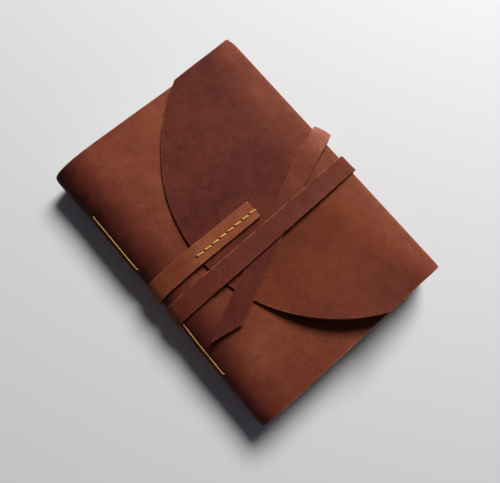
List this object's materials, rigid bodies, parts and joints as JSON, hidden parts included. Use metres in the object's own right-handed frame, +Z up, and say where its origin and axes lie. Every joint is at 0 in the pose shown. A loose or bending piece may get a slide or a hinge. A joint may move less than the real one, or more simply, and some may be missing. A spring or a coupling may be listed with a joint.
{
  "type": "leather notebook",
  "caption": "Closed leather wrap notebook: a folded hide with a round flap, a long-stitched spine and a strap sewn to the flap and wound around it to hold it shut.",
  "frame": {"origin": "middle of the object's footprint, on the surface that the notebook lies on", "axes": "+X from the spine to the fore-edge, +Y from the tail to the head, +Z up through the front cover"},
  "size_m": [0.1686, 0.2214, 0.0446],
  "materials": {
    "cover_leather": "oiled red-brown leather with soft mottling, matte",
    "strap_leather": "oiled red-brown leather with raw cut edges, matte",
    "paper": "uncoated cream paper",
    "thread": "waxed golden thread"
  },
  "bodies": {
    "root": {"leather_cover": "cover_leather", "page_block": "paper", "strap": "strap_leather", "strap_stitching": "thread", "signature_thread_1": "thread", "signature_thread_2": "thread", "signature_thread_3": "thread", "signature_thread_4": "thread"}
  },
  "joints": []
}
